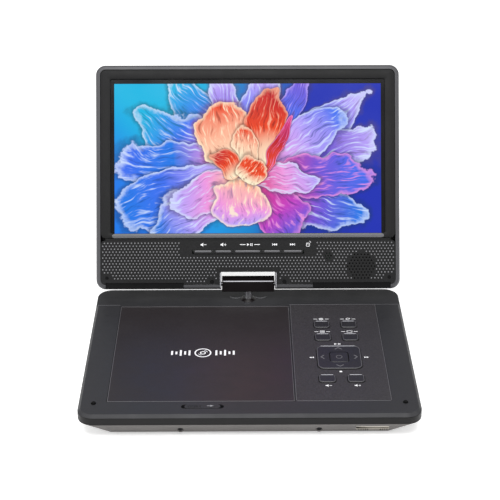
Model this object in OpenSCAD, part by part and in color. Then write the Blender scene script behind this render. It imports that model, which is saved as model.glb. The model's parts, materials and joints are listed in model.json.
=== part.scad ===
// Portable disc player: a flat base with a disc bay and keypad, and a screen on a
// central post that swivels and tilts. All sizes are in millimetres.

/* [Base] */
// Width of the base over its side frame
base_w = 253; // [250:1:256]
// Depth of the base, front to back
base_d = 198; // [194:1:202]
// Corner radius of the base in plan
base_corner = 12; // [11:0.5:14]
// How far the rubber feet hold the base off the table
foot_h = 1.8; // [1.6:0.1:2.4]
// Height of the tapered bottom tray
tray_h = 12.4; // [12:0.1:13]
// How far the tray draws in from its top edge to its bottom edge
tray_taper = 10; // [8:0.5:11]
// How much is cut off each corner of the tray at its bottom edge
tray_cut = 14; // [12:0.5:15]
// Height of the upright side frame
frame_h = 5.8; // [5.8:0.1:6.4]
// Height of the bevel round the deck
bevel_h = 2.3; // [2.3:0.1:2.6]
// Width of the bevel round the deck
bevel_w = 2.2; // [1.8:0.1:2.6]
// Wall thickness of the casings
wall = 2.2; // [2:0.1:2.4]
// How far the strip behind the deck is lowered
strip_drop = 1.8; // [1.7:0.1:1.9]
// Depth of the lowered strip, front to back
strip_d = 30; // [29:0.5:31]

/* [Disc bay] */
// Width of the door
door_w = 138.8; // [138:0.2:139.4]
// Depth of the door
door_d = 148.7; // [148:0.1:149]
// Gap round the door
door_gap = 0.3; // [0.3:0.05:0.4]
// Thickness of the door panel
door_t = 2; // [1.9:0.1:2.1]
// Radius of the rolled rear edge that the door turns on
roll_r = 3; // [2.9:0.05:3]
// Radius of the round well that the disc lies in
well_r = 62; // [61.5:0.5:62.5]
// Distance from the base's centre to the disc's centre, to the left
well_left = 36; // [35.8:0.1:36.2]
// Distance from the base's centre to the disc's centre, to the front
well_front = 4.5; // [4.2:0.1:4.8]
// Radius of the boss that centres the disc
boss_r = 7.4; // [7.3:0.05:7.4]
// Travel of the laser sled
sled_travel = 32; // [28:1:32]

/* [Keys] */
// Width of a deck key
key_w = 12.9; // [12.5:0.1:13.5]
// Depth of a deck key
key_d = 10.8; // [10.4:0.1:11.4]
// Corner radius of a deck key
key_corner = 2.6; // [2:0.1:3]
// Gap between a key and its hole
key_gap = 0.25; // [0.2:0.05:0.3]
// How far the keys stand above the deck
key_rise = 0.8; // [0.6:0.1:1]
// Half the distance between the two columns of keys
column_half = 10.9; // [10.5:0.1:11.4]
// Side of the square four-way pad
pad_side = 34.5; // [34:0.5:35.5]
// Width of the key in the middle of the four-way pad
ok_w = 14.2; // [13.8:0.1:14.4]
// Depth of the key in the middle of the four-way pad
ok_d = 14.8; // [14.4:0.1:15]

/* [Screen] */
// Width of the screen housing
lid_w = 252; // [249:1:254]
// Height of the screen housing
lid_h = 186; // [184:1:188]
// Corner radius of the screen housing
lid_corner = 8; // [7:0.5:9]
// Distance from the tilt axis to the front face
lid_front = 10.1; // [9.8:0.1:10.2]
// Distance from the tilt axis to the back face
lid_back = 8.9; // [8.6:0.1:9.4]
// How far the housing reaches below the tilt axis
lid_below = 4.2; // [4:0.1:4.4]
// Width of the bevelled rim round the front
rim_w = 3.6; // [3.2:0.1:4]
// Width of the lit picture
picture_w = 221.4; // [220:0.1:224]
// Height of the lit picture
picture_h = 124.3; // [123:0.1:126]
// Height of the picture's lower edge above the tilt axis
picture_low = 42.1; // [41.6:0.1:42.4]
// How far the screen leans back from upright
lean = 27; // [0:1:60]

/* [Hinge] */
// Distance from the swivel axis to the base's rear edge
axis_inset = 16.4; // [16:0.1:17]
// Height of the tilt axis above the deck
axis_rise = 12.3; // [12.2:0.1:13]
// Length of the hinge block
block_w = 43.6; // [43:0.2:44]
// Side of the hinge block's square section
block_side = 10.4; // [10:0.1:10.6]
// Radius of the swivel shaft
shaft_r = 3; // [2.5:0.1:3.2]
// Width of the notch in the screen housing
notch_w = 45.2; // [45.2:0.2:46]
// Height of the notch's top edge above the tilt axis
notch_top = 9.9; // [9.5:0.1:10.5]

/* [Hidden] */
$fn = 48;
tiny = 0.01;
through = 60;
// heights of the base's layers above the table
tray_z = foot_h;
frame_z = tray_z + tray_h;
plate_z = frame_z + frame_h;
deck_z = plate_z + bevel_h;
seam = 0.08;
floor_t = 2;
floor_z = tray_z + floor_t;
// edges of the base in plan; its keys and disc are placed from a point a little nearer the front
shell_shift = 1;
front_y = shell_shift - base_d / 2;
rear_y = shell_shift + base_d / 2;
strip_y = rear_y - strip_d;
strip_z = deck_z - strip_drop;
strip_t = 2.2;
inner_w = base_w - 2 * wall;
inner_d = base_d - 2 * wall;
// hinge axes
axis_y = rear_y - axis_inset;
axis_z = deck_z + axis_rise;
// the screen's back edge sets how deep the whole object is
back_bevel = 2.5;
lid_top = lid_h - lid_below;
lid_reach_y = axis_y + max((lid_top - back_bevel) * sin(lean) + lid_back * cos(lean),
                           lid_top * sin(lean) + (lid_back - back_bevel) * cos(lean));
mid_y = (lid_reach_y + front_y) / 2;
// disc bay
well_x = -well_left;
well_y = -well_front;
door_rear_y = strip_y - door_gap;
door_front_y = door_rear_y - door_d;
roll_y = door_rear_y - roll_r;
roll_z = deck_z - roll_r;
door_z = deck_z - door_t;
well_wall = 1.4;
well_floor_z = deck_z - 8.1;
well_top_z = deck_z - 2.4;
pin_r = 1;
pin_reach = 8;
// drive mechanism
chassis_z = 7.5;
chassis_t = 1.1;
rod_z = 10.6;
rod_r = 1;
rod_x = 17;
screw_x = 23;
screw_r = 1.2;
screw_pitch = 3;
lens_start = 24;
run_clear = 0.03;
motor_r = 12;
sled_end = lens_start + sled_travel;
rods_near = 15;
rods_far = sled_end + 10;
screw_near = -14;
chassis_w = 72;
chassis_front = -80;
chassis_rear = 20;
damper_spots = [for (x = [-32, 32]) for (y = [-70, 14]) [x, y]];
turntable_z = 14.7;
disc_z = 16.2;
// keypad
panel_t = 1;
panel_gap = 0.3;
panel_left = well_x + door_w / 2 + 2 * door_gap + 0.3;
panel_right = 105.4;
pad_x = 70;
pad_y = -16.9;
key_rows = [35, 14.4, -48.2];
key_spots = [for (y = key_rows) for (s = [-1, 1]) [pad_x + s * column_half, y]];
key_top_z = deck_z + key_rise;
flange_t = 0.8;
flange_z = plate_z - 0.1 - flange_t;
stem_z = 17;
key_flange = 2;
pad_corner = 5.5;
pad_reach = 13;
board_z = 12.6;
board_t = 1.2;
mat_t = 0.8;
dome_h = 1.8;
// latch
latch_x = -34.7;
latch_y = -85.9;
slot_w = 31.5;
slot_d = 5.6;
knob_w = 26.4;
knob_d = 5;
// the latch's return spring, between the slider's tab and a wall of the deck
spring_start = 18.8;
spring_run = 11;
spring_z = 16.9;
spring_r = 1.5;
spring_turns = 7;
wire_r = 0.28;
wire_sides = 6;
// connectors on the right side
port_z = 17;
audio_spots = [-44, -30];
dc_y = -8;
port_top = port_z + 2.3;
plug_r = 1.8;
usb_y = 16;
switch_y = 40;
// card slot in the front
card_x = 90.3;
card_z = 6.9;
card_w = 24.6;
// fastenings
corner_posts = [for (x = [-108, 108]) for (y = [-79, 76]) [x, y]];
mid_posts = [[-60, 84], [60, 84]];
posts = concat(corner_posts, mid_posts);
post_top = 6;
lug_h = 1.4;
lug_r = 3.6;
pillar_r = 2.6;
pillar_top = plate_z - 0.6;
foot_spots = [for (x = [-96, 96]) for (y = [-68, 66]) [x, y]];
foot_r = 6;
foot_seat = 0.8;
front_screws = [-51, 51];
front_screw_z = 6.6;
front_face = front_y + tray_taper * (1 - (front_screw_z - tray_z) / tray_h);
screw_sink = 1.2;
bumper_spots = [[-115, -81], [115, -81]];
bumper_r = 1.5;
bumper_hole_r = 2;
// screen layers, as distances in front of (-) or behind (+) the tilt axis
face_y = -lid_front;
rim_y = face_y + 0.3;
rim_h = 2.5;
rim_steps = [[-tiny, 0], [1.3, 0.6], [2.15, 1.5], [rim_h, rim_w - 0.4]];
bezel_t = 1.8;
bezel_back = face_y + bezel_t;
shell_t = 2;
shell_y = lid_back - shell_t;
opening_w = lid_w - 2 * rim_w;
opening_low = -lid_below + rim_w;
opening_high = lid_top - rim_w;
bezel_gap = 0.4;
// a groove runs between the control panel and the bezel above it
panel_top = 36.1;
bezel_low = 38.1;
window_w = picture_w + 6.4;
window_low = picture_low - 0.1;
window_high = picture_low + picture_h + 3.9;
tilt_pin_r = 1.75;
tilt_pin_in = 8;
bracket_near = 25.2;
bracket_far = 46;
bracket_low = -2.8;
bracket_half = 3.4;
// the speaker and its holes at the right of the control panel
speaker_x = 93.8;
speaker_v = 14.4;
speaker_r = 13.2;
grille_r = 11.6;
hole_r = 0.6;
pitch_u = 2.8;
pitch_v = 2.45;
// the remote-control sensor's window, a small flower of holes
sensor_u = 66.3;
sensor_v = 23.1;
sensor_holes = [for (a = [0 : 60 : 300]) 2.4 * [cos(a), sin(a)], [0, 0]];
// the five keys above the hinge notch: their ends, from left to right
strip_ends = [-44.8, -28.6, -12.4, 11.5, 27.9, 44.8];
strip_low = 25.1;
strip_high = 27.9;
strip_rise = 0.9;
strip_slant = 1.2;
cap_spots = [[-30, 1.8], [30, 1.8], [-117, 5.2], [117, 5.2]];
cap_radii = [1.6, 1.6, 1.3, 1.3];
screen_screws = [5.8, 5.8, 7, 7];
buffer_near = 53.5;
buffer_far = 118.2;

function between(a, b) = (a + b) / 2;
// a grid of points in staggered rows, kept within a circle
function grille() = [for (row = [-6 : 6]) for (col = [-6 : 6])
    let (u = (col + (row % 2 == 0 ? 0 : 0.5)) * pitch_u, v = row * pitch_v)
    if (norm([u, v]) < grille_r) [u, v]];

// ---- places ----
module in_base() translate([0, -mid_y, 0]) children();
module in_lid() in_base() translate([0, axis_y, axis_z]) rotate([-lean, 0, 0]) children();
module in_mech() in_base() translate([well_x, well_y, 0]) children();
module in_shell() translate([0, shell_shift, 0]) children();
module at(p) translate([p.x, p.y, 0]) children();
module on_side(y) translate([base_w / 2, y, port_z]) rotate([0, -90, 0]) children();
module facing(u, v, y) translate([u, y, v]) rotate([-90, 0, 0]) children();

// ---- shapes ----
module corners(w, d, r)
    for (x = [-1, 1], y = [-1, 1]) translate([x * (w / 2 - r), y * (d / 2 - r)]) children();
module round_rect(w, d, r) {
    square([w - 2 * r, d], center = true);
    square([w, d - 2 * r], center = true);
    corners(w, d, r) circle(r);
}
module cut_rect(w, d, cut) intersection() {
    square([w, d], center = true);
    rotate(45) square((w + d - 2 * cut) / sqrt(2), center = true);
}
module plate(w, d, r, z0, z1) translate([0, 0, z0]) linear_extrude(z1 - z0) round_rect(w, d, r);
module box(x0, x1, y0, y1, z0, z1) translate([x0, y0, z0]) cube([x1 - x0, y1 - y0, z1 - z0]);
module disc(r, z0, z1) translate([0, 0, z0]) cylinder(h = z1 - z0, r = r);
module ring(r_out, r_in, z0, z1) difference() {
    disc(r_out, z0, z1);
    disc(r_in, z0 - 1, z1 + 1);
}
module bevel_run(run, across, h, inset)
    translate([-run / 2, 0, 0]) rotate([90, 0, 90]) linear_extrude(run)
        polygon([[-across / 2, 0], [across / 2, 0], [across / 2 - inset, h], [-across / 2 + inset, h]]);
// a rounded slab whose four sides and corners lean in by inset over its height
module bevel_slab(w, d, h, r, inset) {
    corners(w, d, r) cylinder(h = h, r1 = r, r2 = r - inset);
    bevel_run(w - 2 * r, d, h, inset);
    rotate(90) bevel_run(d - 2 * r, w, h, inset);
}
// the tapered outside of the bottom tray, or the same drawn in by an inset
module tray_solid(inset, z0, z1) hull() {
    $fn = 32;
    share = tray_taper * (1 - (z0 - tray_z) / tray_h);
    in_shell() {
        translate([0, 0, z0]) linear_extrude(tiny)
            cut_rect(base_w - 2 * (share + inset), base_d - 2 * (share + inset), tray_cut - 0.6 * inset);
        plate(base_w - 2 * inset, base_d - 2 * inset, base_corner - inset, z1 - tiny, z1);
    }
}
// a bar of the screen housing's outline, from one depth to another
module lid_plate(w, low, high, r, y0, y1)
    translate([0, y1, between(low, high)]) rotate([90, 0, 0]) linear_extrude(y1 - y0)
        round_rect(w, high - low, r);
module lid_box(u0, u1, v0, v1, y0, y1) translate([u0, y0, v0]) cube([u1 - u0, y1 - y0, v1 - v0]);

// ---- base casings ----
module base_bottom_cover() color("#6c6967") in_base() difference() {
    union() {
        difference() {
            tray_solid(0, tray_z, frame_z - seam);
            tray_solid(wall, floor_z, frame_z + tiny);
        }
        for (p = posts) at(p) disc(3.4, floor_z - 1, post_top);
        for (x = front_screws) translate([x, front_face + 0.7, front_screw_z]) rotate([-90, 0, 0])
            cylinder(h = 6.4, r = 3.2);
    }
    for (p = posts) at(p) {
        disc(1.5, 0, through);
        disc(2.7, 0, tray_z + 2.6);
    }
    for (p = foot_spots) at(p) disc(foot_r + 0.1, 0, tray_z + foot_seat);
    for (x = front_screws) translate([x, front_face - 4, front_screw_z]) rotate([-90, 0, 0]) {
        cylinder(h = 4 + screw_sink + 1.4, r = 2.1);
        cylinder(h = 4 + screw_sink + 5, r = 1.05);
    }
    at([card_x, front_y]) box(-card_w / 2, card_w / 2, -1, 14, card_z - 2.9, card_z + 3.7);
    for (n = [0 : 8]) box(-84 + 12 * n, -82 + 12 * n, 8, 36, 0, tray_z + 3);
    box(base_w / 2 - 12, base_w / 2 + 1, usb_y - 6.8, usb_y + 6.8, port_z - 2.9, frame_z + 1);
}

// a window for a connector, open at the bottom of the side frame
module port_window(y, half)
    box(base_w / 2 - 6, base_w / 2 + 1, y - half, y + half, frame_z - 1, port_top);
module base_side_frame() color("#2d2d2e") in_base() difference() {
    in_shell() plate(base_w, base_d, base_corner, frame_z, plate_z - seam);
    in_shell() plate(inner_w, inner_d, base_corner - wall, frame_z - 1, plate_z + 1);
    for (y = audio_spots) port_window(y, 3.2);
    port_window(dc_y, 4.1);
    box(base_w / 2 - 6, base_w / 2 + 1, usb_y - 6.8, usb_y + 6.8, frame_z - 1, plate_z + 1);
    box(base_w / 2 - 6, base_w / 2 + 1, switch_y - 4, switch_y + 4, port_z - 1.4, port_z + 1.4);
}

module deck_blank() {
    intersection() {
        translate([0, shell_shift, plate_z]) bevel_slab(base_w, base_d, bevel_h, base_corner, bevel_w);
        box(-base_w, base_w, -base_d, strip_y, 0, deck_z);
    }
    intersection() {
        translate([0, shell_shift, plate_z])
            bevel_slab(base_w, base_d, strip_z - plate_z, base_corner, 0.4);
        box(-base_w, base_w, strip_y - tiny, base_d, 0, deck_z);
    }
    intersection() {
        in_shell() plate(inner_w - 0.4, inner_d - 0.4, base_corner - wall, strip_z - strip_t, plate_z + tiny);
        box(-base_w, base_w, strip_y, base_d, 0, deck_z);
    }
    box(panel_left + 1.6, inner_w / 2 - 2, strip_y - 7, strip_y + 1, strip_z - strip_t, plate_z + tiny);
    box(-inner_w / 2 + 2, well_x - door_w / 2 - 6.2, strip_y - 7, strip_y + 1,
        strip_z - strip_t, plate_z + tiny);
}
module pin_bosses() for (s = [-1, 1])
    translate([well_x + s * (door_w / 2 + door_gap + 2.4) - 2.2, roll_y, roll_z]) rotate([0, 90, 0])
        cylinder(h = 4.4, r = 2.6);
module key_holes() {
    gaps = 2 * key_gap;
    for (p = key_spots) at(p) plate(key_w + gaps, key_d + gaps, key_corner + key_gap, 0, through);
    translate([pad_x, pad_y]) plate(pad_side + gaps, pad_side + gaps, pad_corner + key_gap, 0, through);
}
module panel_blank(z0, z1, grow) translate([between(panel_left, panel_right), between(door_front_y, strip_y)])
    plate(panel_right - panel_left + 2 * grow, strip_y - door_front_y + grow, 1.2 + grow, z0, z1);
module base_top_cover() color("#404145") in_base() difference() {
    union() {
        deck_blank();
        pin_bosses();
        for (p = posts) at(p) disc(lug_r, plate_z - lug_h, plate_z + tiny);
        translate([latch_x + spring_start + spring_run + 0.4, latch_y, 0])
            box(0, 1.6, -3, 3, 14.6, plate_z + tiny);
    }
    box(well_x - door_w / 2 - door_gap, well_x + door_w / 2 + door_gap, door_front_y - door_gap, strip_y,
        plate_z - 1, deck_z + 1);
    panel_blank(deck_z - panel_t - 0.05, deck_z + 1, panel_gap / 2);
    key_holes();
    translate([latch_x, latch_y]) plate(slot_w, slot_d, slot_d / 2 - tiny, 0, through);
    for (p = bumper_spots) at(p) disc(bumper_hole_r, plate_z + 0.8, through);
    translate([0, axis_y]) disc(shaft_r + 1.65, 0, through);
    for (p = posts) at(p) disc(pillar_r + 0.05, 0, pillar_top);
    translate([well_x, roll_y, roll_z]) rotate([0, 90, 0])
        cylinder(h = door_w + 40, r = pin_r + 0.02, center = true);
}

module keypad_panel() color("#56555b") in_base() difference() {
    panel_blank(deck_z - panel_t, deck_z, 0);
    key_holes();
}

module deck_bumpers() color("#17171a") in_base() for (p = bumper_spots) at(p) {
    disc(bumper_hole_r - 0.05, plate_z + 0.8, plate_z + 1.4);
    disc(bumper_r, plate_z + 1.3, deck_z + 0.9);
    translate([0, 0, deck_z + 0.9]) cylinder(h = 0.5, r1 = bumper_r, r2 = bumper_r - 0.7);
}

module rubber_feet() color("#1a1a1a") in_base() for (p = foot_spots) at(p) {
    disc(foot_r - 0.8, 0, tray_z + foot_seat);
    disc(foot_r, 0.6, tray_z + foot_seat);
}

// ---- disc bay ----
module disc_well() color("#2a2b2e") in_base() difference() {
    union() {
        box(well_x - door_w / 2 - 4, well_x + door_w / 2 + 4, door_front_y - 2.4, well_y + well_r + 4.5,
            well_top_z - 1.5, well_top_z);
        at([well_x, well_y]) disc(well_r + well_wall, well_floor_z - well_wall, well_top_z);
    }
    at([well_x, well_y]) {
        disc(well_r, well_floor_z, through);
        disc(motor_r + 2.4, 0, through);
        box(-9, 9, -sled_end - 5, 0, 0, through);
    }
    box(well_x - 7, well_x + 7, door_front_y - 0.8, door_front_y + 3.2, 0, through);
    for (p = posts) at(p) disc(lug_r + 0.2, 0, through);
}

module disc_door() color("#403f48") in_base() difference() {
    union() {
        box(well_x - door_w / 2, well_x + door_w / 2, door_front_y, roll_y, door_z, deck_z);
        translate([well_x - door_w / 2, roll_y, roll_z]) rotate([0, 90, 0]) cylinder(h = door_w, r = roll_r);
        at([well_x, well_y]) ring(19, 17.6, door_z - 0.5, door_z + tiny);
        box(well_x - 4, well_x + 4, door_front_y + 0.4, door_front_y + 2, door_z - 3.2, door_z + tiny);
    }
    for (s = [-1, 1]) translate([well_x + s * door_w / 2, roll_y, roll_z]) rotate([0, 90, 0])
        cylinder(h = 2 * pin_reach + 1, r = pin_r + 0.04, center = true);
}

module door_hinge_pins() color("#b9bbc0") in_base() for (s = [-1, 1])
    translate([well_x + s * (door_w / 2 + between(4.5, -pin_reach)), roll_y, roll_z]) rotate([0, 90, 0])
        cylinder(h = 4.5 + pin_reach, r = pin_r, center = true);

module latch_slider() color("#38393d") in_base() translate([latch_x, latch_y]) {
    plate(knob_w, knob_d, knob_d / 2 - tiny, plate_z - 0.4, deck_z + 0.25);
    plate(36.8, 7.6, 1, plate_z - 1.8, plate_z - 0.3);
    for (n = [0 : 4]) box(-9.4 + 1.3 * n, -8.8 + 1.3 * n, -1.7, 1.7, deck_z, deck_z + 0.6);
    translate([7.6, 0, deck_z]) rotate(-90) linear_extrude(0.5)
        polygon([[-1.5, -1.3], [1.5, -1.3], [0, 1.6]]);
    box(16.6, 18.4, -2.4, 2.4, 14.8, plate_z - 1.7);
}

// a fine compression spring beside the slider, swept along its helix as one solid
function spring_ring(t) = let (a = 360 * spring_turns * t, out = [0, cos(a), sin(a)], side = [1, 0, 0])
    [for (j = [0 : wire_sides - 1]) let (b = 360 * j / wire_sides)
        [spring_run * t, 0, 0] + spring_r * out + wire_r * (cos(b) * out + sin(b) * side)];
module latch_spring() color("#c8c9cc") in_base() translate([latch_x + spring_start, latch_y, spring_z]) {
    steps = 16 * spring_turns;
    last = steps * wire_sides;
    points = [for (i = [0 : steps]) each spring_ring(i / steps)];
    sides = [for (i = [0 : steps - 1]) for (j = [0 : wire_sides - 1])
        let (n = i * wire_sides, k = (j + 1) % wire_sides)
            [n + j, n + k, n + wire_sides + k, n + wire_sides + j]];
    ends = [[for (j = [wire_sides - 1 : -1 : 0]) j], [for (j = [0 : wire_sides - 1]) last + j]];
    polyhedron(points, concat(sides, ends));
}

// ---- drive mechanism ----
module mech_chassis() color("#9a9ca0") in_mech() difference() {
    union() {
        translate([0, between(chassis_front, chassis_rear)])
            plate(chassis_w, chassis_rear - chassis_front, 4, chassis_z, chassis_z + chassis_t);
        for (s = [-1, 1], y = [-rods_near, -rods_far])
            translate([s * rod_x, y]) box(-2, 2, -1.5, 1.5, chassis_z + chassis_t - tiny, rod_z + 1.6);
        translate([screw_x, screw_near]) box(-1.9, 1.9, -1, 2, chassis_z + chassis_t - tiny, rod_z + 1.7);
    }
    disc(motor_r - 2, 0, through);
    box(-14.6, 14.6, -sled_end - 7, 7 - lens_start, 0, through);
    box(screw_x - 3.9, screw_x + 3.9, -rods_far - 9.5, 2 - rods_far, 0, rod_z);
    for (p = damper_spots) at(p) disc(2.6, 0, through);
    for (s = [-1, 1]) translate([s * rod_x, 0, rod_z]) rotate([90, 0, 0]) cylinder(h = 140, r = rod_r + 0.01);
    translate([screw_x, screw_near + 1, rod_z]) rotate([90, 0, 0]) cylinder(h = 9, r = screw_r + run_clear);
}

module chassis_dampers() color("#3a2f2a") in_mech() for (p = damper_spots) at(p) difference() {
    union() {
        disc(2.5, floor_z + 2.4, chassis_z + chassis_t + 1.4);
        disc(3.6, chassis_z - 1.4, chassis_z - 0.05);
        disc(3.6, chassis_z + chassis_t + 0.05, chassis_z + chassis_t + 1.4);
    }
    disc(1.2, 0, through);
}

module spindle_motor() color("#8d9096") in_mech() difference() {
    union() {
        disc(motor_r, chassis_z + chassis_t, turntable_z - 1.2);
        disc(motor_r - 2.3, chassis_z - 0.6, chassis_z + chassis_t + tiny);
    }
    disc(1 + run_clear, chassis_z + 0.3, through);
}

module turntable() color("#26282c") in_mech() {
    difference() {
        union() {
            disc(1, chassis_z + 0.8, turntable_z + tiny);
            disc(13, turntable_z, disc_z);
            disc(boss_r, disc_z - tiny, disc_z + 2);
            translate([0, 0, disc_z + 2]) cylinder(h = 1, r1 = boss_r, r2 = 5);
        }
        for (a = [0, 120, 240]) rotate(a) translate([5.9, 0, disc_z + 1.1]) sphere(1.35);
    }
    for (a = [0, 120, 240]) rotate(a) translate([5.9, 0, disc_z + 1.1]) sphere(1.25);
}

module guide_rods() color("#d0d2d6") in_mech() for (s = [-1, 1])
    translate([s * rod_x, -between(rods_near, rods_far), rod_z]) rotate([90, 0, 0])
        cylinder(h = rods_far - rods_near + 3, r = rod_r, center = true);

module laser_sled() color("#7f8288") in_mech() translate([0, -lens_start]) difference() {
    union() {
        box(-14, 14, -6, 6, 8.9, 11.7);
        box(-6, 6, -4.5, 4.5, 11.6, 14.2);
        box(13.9, 19, -5.5, 5.5, 9.1, 12);
        box(-19, -13.9, -5.5, 5.5, 9.1, 12);
        box(18.9, screw_x - screw_r - 0.35, -2, 2, 9.6, 11.6);
    }
    for (s = [-1, 1]) translate([s * rod_x, 0, rod_z]) rotate([90, 0, 0])
        cylinder(h = 20, r = rod_r + run_clear, center = true);
    disc(2.3, 13.4, through);
}

module laser_lens() color("#5577aa") in_mech() translate([0, -lens_start]) {
    disc(2.2, 13.4, 14.5);
    intersection() {
        translate([0, 0, 11.3]) sphere(3.9);
        disc(2, 14.4, 16);
    }
}

module lead_screw() color("#c4b27a") in_mech()
    translate([screw_x, screw_near, rod_z]) rotate([90, 0, 0]) difference() {
        cylinder(h = rods_far + screw_near, r = screw_r);
        for (n = [1 : 15]) translate([0, 0, screw_pitch * n]) rotate_extrude()
            translate([screw_r, 0]) polygon([[-0.35, 0], [0.1, -0.6], [0.1, 0.6]]);
    }

module sled_motor() color("#a4a6ab") in_mech() {
    front = 1 - rods_far;
    difference() {
        translate([screw_x, front, rod_z]) rotate([90, 0, 0]) cylinder(h = 10, r = 3.4);
        translate([screw_x, front + 5, rod_z]) rotate([90, 0, 0]) cylinder(h = 8, r = screw_r + run_clear);
    }
    box(screw_x - 5, screw_x + 5, front - 11, front - 9.9, chassis_z + chassis_t, rod_z + 3.4);
    box(screw_x - 5, screw_x + 5, front - 14, front - 10.9, chassis_z + chassis_t, chassis_z + chassis_t + 1);
}

// ---- boards and power ----
module board(x0, x1, y0, y1, z, t) box(x0, x1, y0, y1, z, z + t);
module main_board() color("#1f5a38") in_base() {
    board(-112, 32, -70, 70, 4.6, 1.2);
    for (c = [[-80, 40, 14, 1.2], [-50, 48, 9, 1], [-96, -20, 10, 1.1], [10, 50, 12, 1.2], [16, -40, 8, 1]])
        translate([c.x, c.y, 5.8]) translate([-c[2] / 2, -c[2] / 2, 0]) cube([c[2], c[2], c[3]]);
    for (y = [48, 56, 64]) translate([-104, y, 5.8]) cylinder(h = 4.5, r = 2.4);
}
module keypad_board() color("#1f5a38") in_base() board(48, 92, -62, 46, board_z, board_t);
module key_mat() color("#9fa0a3") in_base() {
    mat_z = board_z + board_t;
    board(49, 91, -61, 45, mat_z, mat_t);
    pad_spots = [for (a = [0 : 90 : 270]) [pad_x, pad_y] + pad_reach * [cos(a), sin(a)]];
    for (p = concat(key_spots, [[pad_x, pad_y]], pad_spots)) at(p) translate([0, 0, mat_z + mat_t - tiny])
        cylinder(h = dome_h, r1 = 3.4, r2 = 2.2);
}
module battery_pack() color("#2d4f8e") in_base() for (n = [0 : 1])
    translate([58.5 + 31 * n, -2]) plate(29.6, 92, 3, floor_z + 0.3, 11.8);
module io_board() color("#1f5a38") in_base() board(107.4, 122.6, -56, 48, 12.2, 1.2);
module screen_board() color("#1f5a38") in_lid() {
    lid_box(-60, 60, 13, 34, -2.4, -1.2);
    for (k = [0 : 4]) translate([between(strip_ends[k], strip_ends[k + 1]), 0, 0])
        lid_box(-3, 3, strip_low - 1.6, strip_high + 1.6, bezel_back + 1.6, -2.3);
    lid_box(58, 68, 18, 27, -2.4, -1.2);
    lid_box(63.6, 68, 20.4, 25.6, bezel_back + 0.6, -2.3);
}

// ---- connectors ----
// the part of a connector that fills its window in the side frame
module port_block(y, half)
    box(base_w / 2 - 6, base_w / 2 - 0.3, y - half, y + half, frame_z + 0.1, port_top - 0.1);
module audio_jacks() color("#1b1b1d") in_base() for (y = audio_spots) difference() {
    union() {
        box(110.5, base_w / 2 - wall - 0.7, y - 3.1, y + 3.1, 13.5, 19.6);
        port_block(y, 3.1);
    }
    on_side(y) translate([0, 0, -1]) cylinder(h = 15.2, r = plug_r);
}
module dc_jack() color("#1b1b1d") in_base() {
    difference() {
        union() {
            box(112.5, base_w / 2 - wall - 0.7, dc_y - 4, dc_y + 4, 13.5, 19.6);
            port_block(dc_y, 4);
        }
        on_side(dc_y) translate([0, 0, -1]) cylinder(h = 11, r = 2.05);
    }
    on_side(dc_y) translate([0, 0, 1.6]) cylinder(h = 9, r = 0.65);
}
module usb_port() color("#b4b6bb") in_base() {
    difference() {
        box(112.2, base_w / 2 - 0.3, usb_y - 6.6, usb_y + 6.6, 14.3, 19.7);
        box(113, base_w / 2 + 1, usb_y - 6.1, usb_y + 6.1, 14.8, 19.2);
    }
    box(112.6, base_w / 2 - 4, usb_y - 5.6, usb_y + 5.6, 18, 19.3);
}
module card_reader() color("#77757a") in_base() difference() {
    union() {
        intersection() {
            tray_solid(0.25, tray_z, frame_z - seam);
            at([card_x, front_y]) box(0.1 - card_w / 2, card_w / 2 - 0.1, -1, 10, card_z - 2.8, card_z + 3.6);
        }
        box(card_x - 14, card_x + 14, front_y + 9.8, front_y + 30, card_z - 1.8, card_z + 2);
    }
    box(card_x - 12, card_x + 12, front_y - 1, front_y + 29, card_z - 1.1, card_z + 1.2);
}
module switch_housing() color("#1b1b1d") in_base() difference() {
    box(114, base_w / 2 - wall - 0.7, switch_y - 6, switch_y + 6, 13.5, 19.4);
    box(117, base_w / 2, switch_y - 4.6, switch_y + 4.6, port_z - 1.3, port_z + 1.3);
}
module switch_knob() color("#3a3a3d") in_base() {
    box(117.6, base_w / 2 - 0.5, switch_y - 3.2, switch_y - 0.2, port_z - 1, port_z + 1);
    for (n = [0 : 2]) translate([base_w / 2, switch_y - 2.9 + n, port_z]) box(-0.6, -0.1, 0, 0.4, -1, 1);
}

// ---- fastenings: steel pillars between the two covers, and the screws that enter them ----
module base_screws() color("#8f9196") in_base() {
    for (p = posts) at(p) {
        ring(pillar_r, 1.25, post_top + 0.05, pillar_top - 0.05);
        difference() {
            union() {
                disc(2.5, tray_z + 0.9, tray_z + 2.6);
                disc(1.15, tray_z + 2.5, 16.5);
            }
            cross_recess(tray_z + 0.9);
        }
    }
    for (x = front_screws) translate([x, front_face + screw_sink, front_screw_z]) rotate([-90, 0, 0])
            difference() {
        union() {
            cylinder(h = 1.4, r = 1.95);
            cylinder(h = 4.4, r = 1);
        }
        cross_recess(0);
    }
}
module cross_recess(z) for (a = [0, 90]) rotate(a) box(-1.3, 1.3, -0.25, 0.25, z - 1, z + 0.7);

// ---- deck keys ----
module key_body(w, d, r, top, flange_low, grow) {
    plate(w, d, r, flange_low + flange_t - tiny, top - 0.4);
    translate([0, 0, top - 0.4 - tiny]) bevel_slab(w, d, 0.4 + tiny, r, 0.4);
    plate(w + grow, d + grow, r + 0.4, flange_low, flange_low + flange_t);
}
module deck_key(n) color("#2f3034") in_base() at(key_spots[n]) {
    key_body(key_w, key_d, key_corner, key_top_z, flange_z, key_flange);
    disc(2, stem_z, flange_z + tiny);
}
module key_setup() deck_key(0);
module key_mode() deck_key(1);
module key_menu() deck_key(2);
module key_display() deck_key(3);
module key_volume_down() deck_key(4);
module key_volume_up() deck_key(5);

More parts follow.
